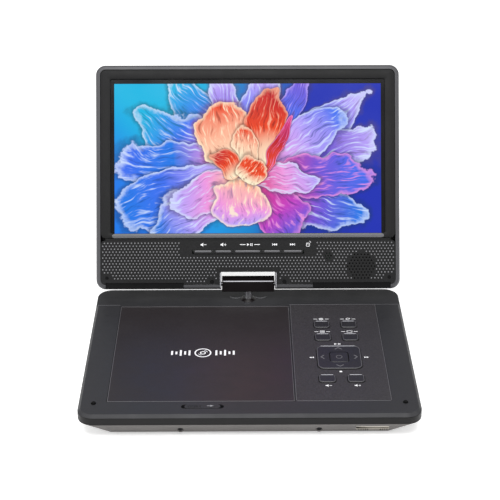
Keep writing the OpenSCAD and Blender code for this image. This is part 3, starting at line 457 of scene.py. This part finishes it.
def loft(name, rings, closed=False):
    """A mesh through rings of points, capped at both ends unless it closes on itself."""
    mesh = bpy.data.meshes.new(name)
    size = len(rings[0])
    points = [p for ring in rings for p in ring]
    faces = []
    for k in range(len(rings) if closed else len(rings) - 1):
        low, high = k * size, (k + 1) % len(rings) * size
        for i in range(size):
            j = (i + 1) % size
            faces.append((low + i, low + j, high + j, high + i))
    if not closed:
        faces.append(tuple(reversed(range(size))))
        faces.append(tuple(range(len(points) - size, len(points))))
    mesh.from_pydata([tuple(p) for p in points], [], faces)
    return mesh


def bead(name, width, depth, radius, at, thick, body, material):
    """A thin raised bead that runs round a rounded rectangle, half sunk into the face it lies on."""
    rings = []
    for i in range(8):
        a = TAU * i / 8
        grow = thick * math.cos(a)
        ring = outline(width + 2 * grow, depth + 2 * grow, radius + grow)
        rings.append([Vector((p.x, p.y, thick * 0.8 * math.sin(a))) + at for p in ring])
    mesh = loft(name, list(zip(*rings)), closed=True)
    return finish_piece(name, mesh, body, [material], smooth=60)


def rail(name, start, end, half, rise, up, body, material):
    """A straight rounded line of plastic, half sunk into the face whose outward direction is up."""
    along = (end - start).normalized()
    side = along.cross(up)
    angles = [TAU * i / 10 for i in range(10)]
    rings = []
    for at, share in ((start, 0.5), (start + half * along, 1), (end - half * along, 1), (end, 0.5)):
        rings.append([at + share * (half * math.cos(a) * side + rise * math.sin(a) * up) for a in angles])
    return finish_piece(name, loft(name, rings), body, [material], smooth=60)


# ---- printed marks: flat shapes in millimetres on a face's own two axes ----
def bar(x, y, w, h):
    return [(x - w / 2, y - h / 2), (x + w / 2, y - h / 2), (x + w / 2, y + h / 2), (x - w / 2, y + h / 2)]


def wedge(x, y, w, h):
    """A triangle that points right, or left where w is negative."""
    return [(x - w / 2, y - h / 2), (x + w / 2, y), (x - w / 2, y + h / 2)]


def arc(x, y, inner, outer, start=0, end=360, steps=28):
    """A band of an arc, as four-cornered pieces."""
    angles = [math.radians(start + (end - start) * i / steps) for i in range(steps + 1)]
    pieces = []
    for a, b in zip(angles, angles[1:]):
        pieces.append([(x + r * math.cos(t), y + r * math.sin(t))
                       for r, t in ((inner, a), (outer, a), (outer, b), (inner, b))])
    return pieces


def moved(shapes, x, y, scale=1.0):
    return [[(x + scale * px, y + scale * py) for px, py in shape] for shape in shapes]


GEAR = arc(0, 0, 0.55, 1.15) + [
    [(c * r - s * w, s * r + c * w) for r, w in ((1.0, -0.26), (1.6, -0.2), (1.6, 0.2), (1.0, 0.26))]
    for c, s in ((math.cos(TAU * k / 8), math.sin(TAU * k / 8)) for k in range(8))]
LOOP = arc(0, 0, 0.95, 1.35, 40, 320) + [[(0.5, 0.75), (1.75, 1.1), (1.2, -0.2)]]
LINES = [bar(0, y, 3.2, 0.42) for y in (-1.05, 0, 1.05)]
FRAME = [bar(0, 1.15, 3.6, 0.35), bar(0, -1.15, 3.6, 0.35), bar(-1.65, 0, 0.35, 2.4), bar(1.65, 0, 0.35, 2.4)]
SPEAKER = [bar(-1.1, 0, 0.8, 1.0), [(-0.7, -0.5), (0.3, -1.3), (0.3, 1.3), (-0.7, 0.5)]]
MINUS = [bar(1.7, 0, 1.5, 0.4)]
PLUS = MINUS + [bar(1.7, 0, 0.4, 1.5)]
QUIETER = SPEAKER + MINUS
LOUDER = SPEAKER + PLUS
FORWARD = [wedge(-0.75, 0, 1.5, 1.7), wedge(0.75, 0, 1.5, 1.7)]
BACK = [wedge(0.75, 0, -1.5, 1.7), wedge(-0.75, 0, -1.5, 1.7)]
NEXT = FORWARD + [bar(1.8, 0, 0.36, 1.7)]
PREVIOUS = BACK + [bar(-1.8, 0, 0.36, 1.7)]
PLAY = [wedge(-1.2, 0, 1.8, 1.9), bar(0.6, 0, 0.5, 1.9), bar(1.6, 0, 0.5, 1.9)]
STOP = [bar(0, 0, 1.6, 1.5)]
HANDSET = [bar(0, 0, 2.9, 0.4), bar(-1.25, 1.3, 0.4, 3.0), bar(1.25, 1.3, 0.4, 3.0), bar(0, 2.7, 2.9, 0.4),
           bar(0, 1.9, 1.2, 0.4)] + arc(1.2, 3.0, 1.0, 1.35, 0, 90, 8)


def flanked(shapes, reach=3.9, length=2.6):
    """A mark with a short dash on each side."""
    return shapes + [bar(-reach, 0, length, 0.45), bar(reach, 0, length, 0.45)]


def print_marks(name, shapes, origin, right, up, body, material, height=0.05 * MM):
    """Thin closed prisms of ink on a face, from outlines in millimetres."""
    normal = right.cross(up)
    points, faces = [], []
    for shape in shapes:
        first, count = len(points), len(shape)
        area = sum(a[0] * b[1] - b[0] * a[1] for a, b in zip(shape, shape[1:] + shape[:1]))
        ordered = shape if area > 0 else shape[::-1]
        for lift in (-0.4, 1.0):
            points += [origin + MM * (x * right + y * up) + lift * height * normal for x, y in ordered]
        faces.append(tuple(first + i for i in reversed(range(count))))
        faces.append(tuple(first + count + i for i in range(count)))
        for i in range(count):
            j = (i + 1) % count
            faces.append((first + i, first + j, first + count + j, first + count + i))
    mesh = bpy.data.meshes.new(name)
    mesh.from_pydata([tuple(p) for p in points], [], faces)
    return finish_piece(name, mesh, body, [material], smooth=20)


# ---- the CAD nodes that show, with their edges rounded ----
EDGES = {
    "base_bottom_cover": 0.45, "base_side_frame": 0.5, "base_top_cover": 0.3, "keypad_panel": 0.2,
    "disc_door": 0.25, "disc_well": 0.3, "latch_slider": 0.15, "card_reader": 0.2, "deck_bumpers": 0.2,
    "rubber_feet": 0.4, "base_screws": 0.1, "swivel_bush": 0.2, "hinge_block": 0.2, "swivel_shaft": 0.3,
    "swivel_nut": 0.2, "screen_buffers": 0.12,
    "turntable": 0.15, "laser_sled": 0.25, "audio_jacks": 0.12, "dc_jack": 0.1, "usb_port": 0.1,
    "switch_knob": 0.08, "switch_housing": 0.15, "dpad_rocker": 0.12, "mech_chassis": 0.12, "key_ok": 0.12,
    "tilt_hinges": 0.15, "lcd_backlight": 0.2,
}
DECK_KEYS = ["key_setup", "key_mode", "key_menu", "key_display", "key_volume_down", "key_volume_up"]
for key in DECK_KEYS:
    EDGES[key] = 0.12
for n in range(1, 6):
    EDGES[f"screen_key_{n}"] = 0.15
for node, width in EDGES.items():
    finished(node, width * MM, [GLOSS] if node.startswith("screen_key") else None)
for node, thing in frame["nodes"].items():
    if node not in EDGES:
        thing.data.materials.clear()
        thing.data.materials.append(LOOKS[slot_of[node]])

# ---- the bezel: a frame round the picture's window, rounded along its outer and inner edges ----
bezel_low, bezel_high = lid_box("screen_bezel")
bezel_mid = Vector((0, 0, (bezel_low.z + bezel_high.z) / 2))
window_mid = Vector((0, 0, 106.15 * MM))
window_w, window_h = 227.8 * MM, 128.3 * MM


def level(mid, width, height, radius, y):
    return [mid + Vector((p.x, y, p.y)) for p in outline(width, height, radius)]


bezel_w, bezel_h = bezel_high.x - bezel_low.x, bezel_high.z - bezel_low.z
rings = [level(bezel_mid, bezel_w, bezel_h, 4 * MM, bezel_high.y)]
for inset, drop in ((0, 0.4), (0.12, 0.16), (0.4, 0)):
    rings.append(level(bezel_mid, bezel_w - 2 * inset * MM, bezel_h - 2 * inset * MM, (4 - inset) * MM,
                       bezel_low.y + drop * MM))
for grow, drop in ((0.3, 0), (0.08, 0.1), (0, 0.3)):
    rings.append(level(window_mid, window_w + 2 * grow * MM, window_h + 2 * grow * MM, (1.5 + grow) * MM,
                       bezel_low.y + drop * MM))
rings.append(level(window_mid, window_w, window_h, 1.5 * MM, bezel_high.y))
bezel_mesh = loft("bezel_frame", rings, closed=True)
turned = bmesh.new()
turned.from_mesh(bezel_mesh)
bmesh.ops.recalc_face_normals(turned, faces=turned.faces)
turned.to_mesh(bezel_mesh)
turned.free()
bezel = finish_piece("bezel_frame", bezel_mesh, "screen", [LOOKS["bezel_plastic"]], LID)
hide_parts("screen_bezel")

# ---- the display, in the screen's own axes so that its picture follows them ----
low, high = lid_box("lcd_panel")
glass_w, glass_h = high.x - low.x, high.z - low.z
glass_mid = Vector(((low.x + high.x) / 2, 0, (low.z + high.z) / 2))
rings = []
for inset, y in ((0, high.y), (0, low.y + 0.3 * MM), (0.25 * MM, low.y)):
    ring = outline(glass_w - 2 * inset, glass_h - 2 * inset, 1 * MM, 4)
    rings.append([Vector((-p.x, y, p.y)) + glass_mid for p in reversed(ring)])
display = finish_piece("display_glass", loft("display_glass", rings), "screen",
                       [LOOKS["picture_glass"]], LID)
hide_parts("lcd_panel")

# ---- the control panel: the CAD plate, and a field of small raised dots between its holes, painted lighter than the panel as their highlights ----
finished("control_panel", 0.08 * MM)
panel_low, panel_high = lid_box("control_panel")
# millimetres across and up the screen: the speaker's middle, and the smooth spots with their radii
grille_u, grille_v = 93.8, 14.4
smooth_spots = [(grille_u, grille_v, 12.6), (66.3, 23.1, 4.6),
                (30, 1.2, 4.2), (-30, 1.2, 4.2), (117, 5.2, 4), (-117, 5.2, 4)]
pitch_u, pitch_v = 2.8, 2.45
dot_rows, dot_columns = range(-7, 9), range(-77, 11)
dot_r, dot_h, dot_sides = 0.62 * MM, 0.24 * MM, 8
# each dot's rings, from its foot to its crown: share of its radius, and share of its height
dot_rings = ((1.0, 0.05), (0.93, -0.45), (0.6, -0.86))


def dot_free(u, v):
    """True where the panel is smooth: round the keys, speaker, sensor, plugs, notch and corners."""
    if any(math.hypot(u - x, v - y) < r for x, y, r in smooth_spots):
        return True
    in_strip = -56 < u < 57 and v > 22.5
    by_notch = abs(u) < 25.5 and v < 12.6
    by_buffer = abs(u) > 51.5 and v < 2.6
    corner = abs(u) + v < 0 or abs(abs(u) - 120) + abs(v + 2) < 8
    return in_strip or by_notch or by_buffer or corner


def on_panel(u, v):
    """True where a dot fits inside the panel's edges."""
    side, low, high = panel_high.x / MM - 1.6, panel_low.z / MM + 1.4, panel_high.z / MM - 1.5
    return abs(u) < side and low < v < high


def add_dot(points, faces, u, v):
    """One domed dot, as rings of points with a point at its crown."""
    first = len(points)
    for r, y in dot_rings:
        for i in range(dot_sides):
            a = TAU * i / dot_sides
            points.append((u * MM + dot_r * r * math.cos(a), panel_low.y + dot_h * y,
                           v * MM + dot_r * r * math.sin(a)))
    crown = len(points)
    points.append((u * MM, panel_low.y - dot_h, v * MM))
    faces.append(tuple(range(first, first + dot_sides)))
    for low in range(first, crown - dot_sides, dot_sides):
        for i in range(dot_sides):
            j = (i + 1) % dot_sides
            faces.append((low + j, low + i, low + dot_sides + i, low + dot_sides + j))
    last = crown - dot_sides
    for i in range(dot_sides):
        faces.append((last + (i + 1) % dot_sides, last + i, crown))


def dot_field():
    """Staggered rows of dots, lined up with the speaker's holes."""
    points, faces = [], []
    for row in dot_rows:
        v = grille_v + row * pitch_v
        stagger = 0 if row % 2 == 0 else 0.5
        for column in dot_columns:
            u = grille_u + (column + stagger) * pitch_u
            if on_panel(u, v) and not dot_free(u, v):
                add_dot(points, faces, u, v)
    mesh = bpy.data.meshes.new("panel_dots")
    mesh.from_pydata(points, [], faces)
    return finish_piece("panel_dots", mesh, "screen", [DOT_HIGHLIGHT], LID, 70)


dot_field()

# ---- the keys' and the pad's raised outlines, painted lighter as edge highlights, with a brighter painted highlight along the rear edge ----


def outlined(node, width, depth, radius, thick):
    """A faint raised bead round a key's top, painted lighter as its edge highlight, and a brighter painted
    highlight along the side away from the user, where the light falls.
    """
    body = frame["nodes"][node]["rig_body"]
    spot = centre(node)
    spot.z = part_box(node)[1].z - 0.05 * MM
    bead(node + "_highlight_bead", width, depth, radius, spot, thick, body, FAINT_EDGE_HIGHLIGHT)
    rear = spot + Vector((0, depth / 2, 0.06 * MM))
    reach = Vector((width / 2 - radius * 0.6, 0, 0))
    rail(node + "_rear_highlight", rear - reach, rear + reach, 0.32 * MM, 0.2 * MM, UP, body, EDGE_HIGHLIGHT)


key_low, key_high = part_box("key_setup")
key_flange, bead_inset = 1.0 * MM, 0.65 * MM
key_w = key_high.x - key_low.x - 2 * (key_flange + bead_inset)
key_d = key_high.y - key_low.y - 2 * (key_flange + bead_inset)
for key in DECK_KEYS:
    outlined(key, key_w, key_d, 2 * MM, 0.2 * MM)
pad_spot = centre("dpad_rocker")
pad_spot.z = deck_z
pad_side = 33.2 * MM
outlined("dpad_rocker", pad_side, pad_side, 5 * MM, 0.26 * MM)

# ---- printed marks ----
middle = Vector((pad_spot.x, pad_spot.y, deck_z))
mark_scale = 1.2
above_key, below_key = 9.6, -9.4
key_marks = ((flanked(GEAR), above_key), (flanked(LOOP), above_key), (flanked(LINES), above_key),
             (flanked(FRAME, 4.2), above_key), (QUIETER, below_key), (LOUDER, below_key))
marks = []
for key, (shapes, shift) in zip(DECK_KEYS, key_marks):
    spot = (centre(key) - middle) / MM
    marks += moved(shapes, spot.x, spot.y + shift, mark_scale)
for shapes, x, y in ((PLAY, 0, 21.2), (STOP, 0, -20.6), (BACK, -21.4, 0.6), (FORWARD, 21.4, 0.6)):
    marks += moved(shapes, x, y, mark_scale)
print_marks("keypad_marks", marks, middle, RIGHT, BACKWARD, "base", INK)

# an arrowhead of two blades on each side of the pad
pad_top = Vector((pad_spot.x, pad_spot.y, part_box("dpad_rocker")[1].z))
chevrons = []
for c, s in ((1, 0), (0, 1), (-1, 0), (0, -1)):
    for side in (-1, 1):
        blade = [(11.2, 2.6 * side), (13.4, 0), (14.6, 0), (12.2, 2.9 * side)]
        chevrons.append([(c * x - s * y, s * x + c * y) for x, y in blade])
print_marks("pad_chevrons", chevrons, pad_top, RIGHT, BACKWARD, "pad", DIM_INK)

ok_top = centre("key_ok")
ok_top.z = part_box("key_ok")[1].z
print_marks("ok_mark", arc(0, 0, 2.0, 2.5), ok_top, RIGHT, BACKWARD, "ok_key", DIM_INK)

door_low, door_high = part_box("disc_door")
mark_forward = 4 * MM
door_mid = Vector(((door_low.x + door_high.x) / 2, (door_low.y + door_high.y) / 2 - mark_forward,
                   door_high.z))
disc_mark = arc(0, 0, 5.6, 6.6, steps=48) + arc(0, 0, 1.5, 2.3) + arc(0, 0, 3.4, 3.9, 20, 75, 10) \
    + arc(0, 0, 3.4, 3.9, 200, 255, 10)
for side in (-1, 1):
    for k, tall in enumerate((7.5, 5.0, 8.5, 4.0, 6.0)):
        disc_mark.append(bar(side * (10.5 + 3.4 * k), 0, 1.5, tall))
print_marks("door_mark", disc_mark, door_mid, RIGHT, BACKWARD, "door", INK)

lid_marks = []
for shapes, x, y, size in ((QUIETER, -37.5, 0, 1.2), (LOUDER, -21, 0, 1.2),
                           (flanked(PLAY, 5.2, 4.0), 1.5, 0, 1.15), (PREVIOUS, 22.3, 0, 1.15),
                           (NEXT, 36.5, 0, 1.15), (HANDSET, 49.6, -1.6, 1.0)):
    lid_marks += moved(shapes, x, y, size)
print_marks("screen_marks", lid_marks, LID @ Vector((0, panel_low.y, 32.6 * MM)), across,
            across.cross(inward), "screen", INK)

# arrows that show which way the screen swivels, on the rear strip either side of the post
swivel = Vector(joints["screen_swivel"]["pos_m"])
arrows = []
for arrow_x in (-10.2, 10.2):
    arrows += arc(arrow_x, 8.6, 7.4, 8.1, 236, 304, 10)
    arrows += [[(arrow_x + end * x, y) for x, y in ((3.6, 1.0), (5.6, 3.6), (2.9, 2.6))] for end in (-1, 1)]
strip_top = Vector((swivel.x, swivel.y, deck_z - 1.8 * MM))
print_marks("swivel_arrows", arrows, strip_top, RIGHT, BACKWARD, "base", GREY_INK, 0.12 * MM)

# ---- painted highlights: light lines along the edges of the deck, the door, the keypad panel and the screen ----
THICK_LINE, THIN_LINE = (0.24 * MM, 0.14 * MM), (0.22 * MM, 0.12 * MM)
BROAD_LINE = (0.25 * MM, 0.15 * MM)
sunk = 0.05 * MM


def highlight_line(name, start, end, z, size, body):
    """A faint level line of painted highlight between two places on a top face at height z."""
    half, rise = size
    rail(name, Vector((*start, z - sunk)), Vector((*end, z - sunk)), half, rise, UP, body, FAINT_EDGE_HIGHLIGHT)


deck_low, deck_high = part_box("base_top_cover")
plate_low, plate_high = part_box("keypad_panel")
step_y = door_high.y - 0.2 * MM
door_gap, deck_inset = 0.4 * MM, 1.5 * MM
highlight_line("step_line_left", (deck_low.x + deck_inset, step_y), (door_low.x - door_gap, step_y), deck_z,
          BROAD_LINE, "base")
highlight_line("step_line_right", (door_high.x + door_gap, step_y), (deck_high.x - deck_inset, step_y), deck_z,
          BROAD_LINE, "base")
inset = 0.35 * MM
# the door's rear line lies in front of its rolled rear edge
rolled = 3.4 * MM
left, right = door_low.x + inset, door_high.x - inset
front, rear = door_low.y + inset, door_high.y - rolled
for name, start, end, size in (("door_line_front", (left, front), (right, front), THICK_LINE),
                               ("door_line_left", (left, front), (left, rear), THIN_LINE),
                               ("door_line_right", (right, front), (right, rear), THIN_LINE),
                               ("door_line_rear", (left, rear), (right, rear), THICK_LINE)):
    highlight_line(name, start, end, door_high.z, size, "door")
front, rear = plate_low.y + MM, plate_high.y - MM
for name, x in (("panel_line_left", plate_low.x + inset), ("panel_line_right", plate_high.x - inset)):
    highlight_line(name, (x, front), (x, rear), plate_high.z, THIN_LINE, "base")
highlight_line("panel_line_front", (plate_low.x + MM, plate_low.y + inset),
          (plate_high.x - MM, plate_low.y + inset), plate_high.z, BROAD_LINE, "base")


def on_face(u, v):
    """A point on the control panel's face, from millimetres across and up the screen."""
    return LID @ Vector((u * MM, panel_low.y, v * MM))


# a ridge along the upper part of each screen key, painted light as the highlight on the key's top edge
ridge, ridge_inset, key_lip = 0.75 * MM, 1.7 * MM, 0.9 * MM
for n in range(1, 6):
    key = f"screen_key_{n}"
    low, high = lid_box(key)
    v = high.z - key_lip - ridge
    rail(key + "_highlight_ridge", LID @ Vector((low.x + ridge_inset, low.y, v)),
         LID @ Vector((high.x - ridge_inset, low.y, v)),
         ridge, 0.12 * MM, toward, f"screen_button_{n}", HIGHLIGHT_LIP)
# the notch's side edges and the hinge block's front edge, drawn as light lines of painted highlight
for name, u in (("notch_edge_left", -23.1), ("notch_edge_right", 23.1)):
    rail(name, on_face(u, -3), on_face(u, 9.4), 0.28 * MM, 0.2 * MM, toward, "screen", EDGE_HIGHLIGHT)
block_low, block_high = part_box("hinge_block")
chamfer = 0.35 * MM
edge_start = Vector((block_low.x + MM, block_low.y + chamfer, block_high.z - chamfer))
edge_end = Vector((block_high.x - MM, edge_start.y, edge_start.z))
rail("block_highlight_line", edge_start, edge_end, 0.45 * MM, 0.12 * MM, Vector((0, -1, 1)).normalized(), "hinge",
     EDGE_HIGHLIGHT)
# the rounded bar between the picture and the groove below it, painted lighter grey as the highlight on its
# rounded top
lip_u, lip_v = 112.6, bezel_low.z / MM + 1.95
rail("bezel_lip", on_face(-lip_u, lip_v), on_face(lip_u, lip_v), 1.75 * MM, 0.4 * MM, toward, "screen",
     HIGHLIGHT_LIP)

# ---- the latch's ribs and arrow ----
latch_low, latch_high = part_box("latch_slider")
latch_mid = Vector(((latch_low.x + latch_high.x) / 2, centre("latch_slider").y, latch_high.z))
rib_pitch, rib_shift, rib_reach = 2.2 * MM, 6 * MM, Vector((0, 1.4 * MM, 0))
for k in range(1, 6):
    rib = latch_mid + Vector((rib_pitch * (k - 3) - rib_shift, 0, -sunk))
    rail(f"latch_rib_{k}", rib - rib_reach, rib + rib_reach, 0.35 * MM, 0.3 * MM, UP, "latch",
         LOOKS["deck_plastic"])
print_marks("latch_arrow", [wedge(7, 0, 2.6, 2.4), bar(4.6, 0, 2.6, 0.7)], latch_mid, RIGHT, BACKWARD,
            "latch", GREY_INK)

# ---- the memory card slot: two groups of dark ticks at its contacts, painted as shade in the slot, against its light lining ----
slot_low, slot_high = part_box("card_reader")
slot_mid = Vector(((slot_low.x + slot_high.x) / 2, slot_low.y, (slot_low.z + slot_high.z) / 2))
tick_pitch = 1.6
ticks = [bar(start + tick_pitch * k, 0.1, 0.55, 1.5) for start, count in ((-10.4, 5), (5.4, 4))
         for k in range(count)]
print_marks("slot_contact_shade", ticks, slot_mid, RIGHT, UP, "base", SLOT_SHADE)

# ---- floor, light and camera ----
floor_mesh = bpy.data.meshes.new("floor")
reach = 4.0
floor_mesh.from_pydata([(-reach, -reach, 0), (reach, -reach, 0), (reach, reach, 0), (-reach, reach, 0)], [],
                       [(0, 1, 2, 3)])
floor = bpy.data.objects.new("floor", floor_mesh)
bpy.context.scene.collection.objects.link(floor)
paper = Graph("floor_paper")
fibres = paper.noise(paper.place(), 400, 3)
floor_mesh.materials.append(paper.shade(
    Base_Color=paper.mix(paper.clamped(fibres, 0.4, 0.6), (0.9, 0.9, 0.9, 1), (0.93, 0.93, 0.93, 1)),
    Roughness=0.9, Specular_IOR_Level=0.1, Emission_Color=(1, 1, 1, 1), Emission_Strength=0.42))


def soft_light(name, at, target, width, height, power):
    data = bpy.data.lights.new(name, "AREA")
    data.shape = "RECTANGLE"
    data.size, data.size_y, data.energy = width, height, power
    lamp = bpy.data.objects.new(name, data)
    lamp.location = at
    lamp.rotation_euler = (Vector(target) - Vector(at)).to_track_quat("-Z", "Y").to_euler()
    bpy.context.scene.collection.objects.link(lamp)


soft_light("top_softbox", (-0.2, -0.1, 1.5), (0, 0, 0), 1.4, 1.2, 11)
soft_light("front_softbox", (0, -0.8, 1.15), (0, -0.12, 0), 0.9, 0.35, 10)
soft_light("left_softbox", (-1.3, -0.6, 0.7), (0, 0, 0.05), 0.8, 0.8, 7)
soft_light("right_softbox", (1.3, -0.5, 0.6), (0, 0, 0.05), 0.7, 0.8, 5)

world = bpy.data.worlds.new("studio")
bpy.context.scene.world = world
world.use_nodes = True
world.node_tree.nodes["Background"].inputs[0].default_value = (1, 1, 1, 1)
world.node_tree.nodes["Background"].inputs[1].default_value = 0.55

elevation, yaw = math.radians(26.45), math.radians(0.45)
camera_data = bpy.data.cameras.new("camera")
camera_data.sensor_width = 36
camera_data.lens = 103.2
camera = bpy.data.objects.new("camera", camera_data)
camera.location = (-0.0068, -1.0138, 0.5934)
camera.rotation_euler = (TAU / 4 - elevation, 0, -yaw)
bpy.context.scene.collection.objects.link(camera)
bpy.context.scene.camera = camera
bpy.context.scene.view_settings.view_transform = "Standard"
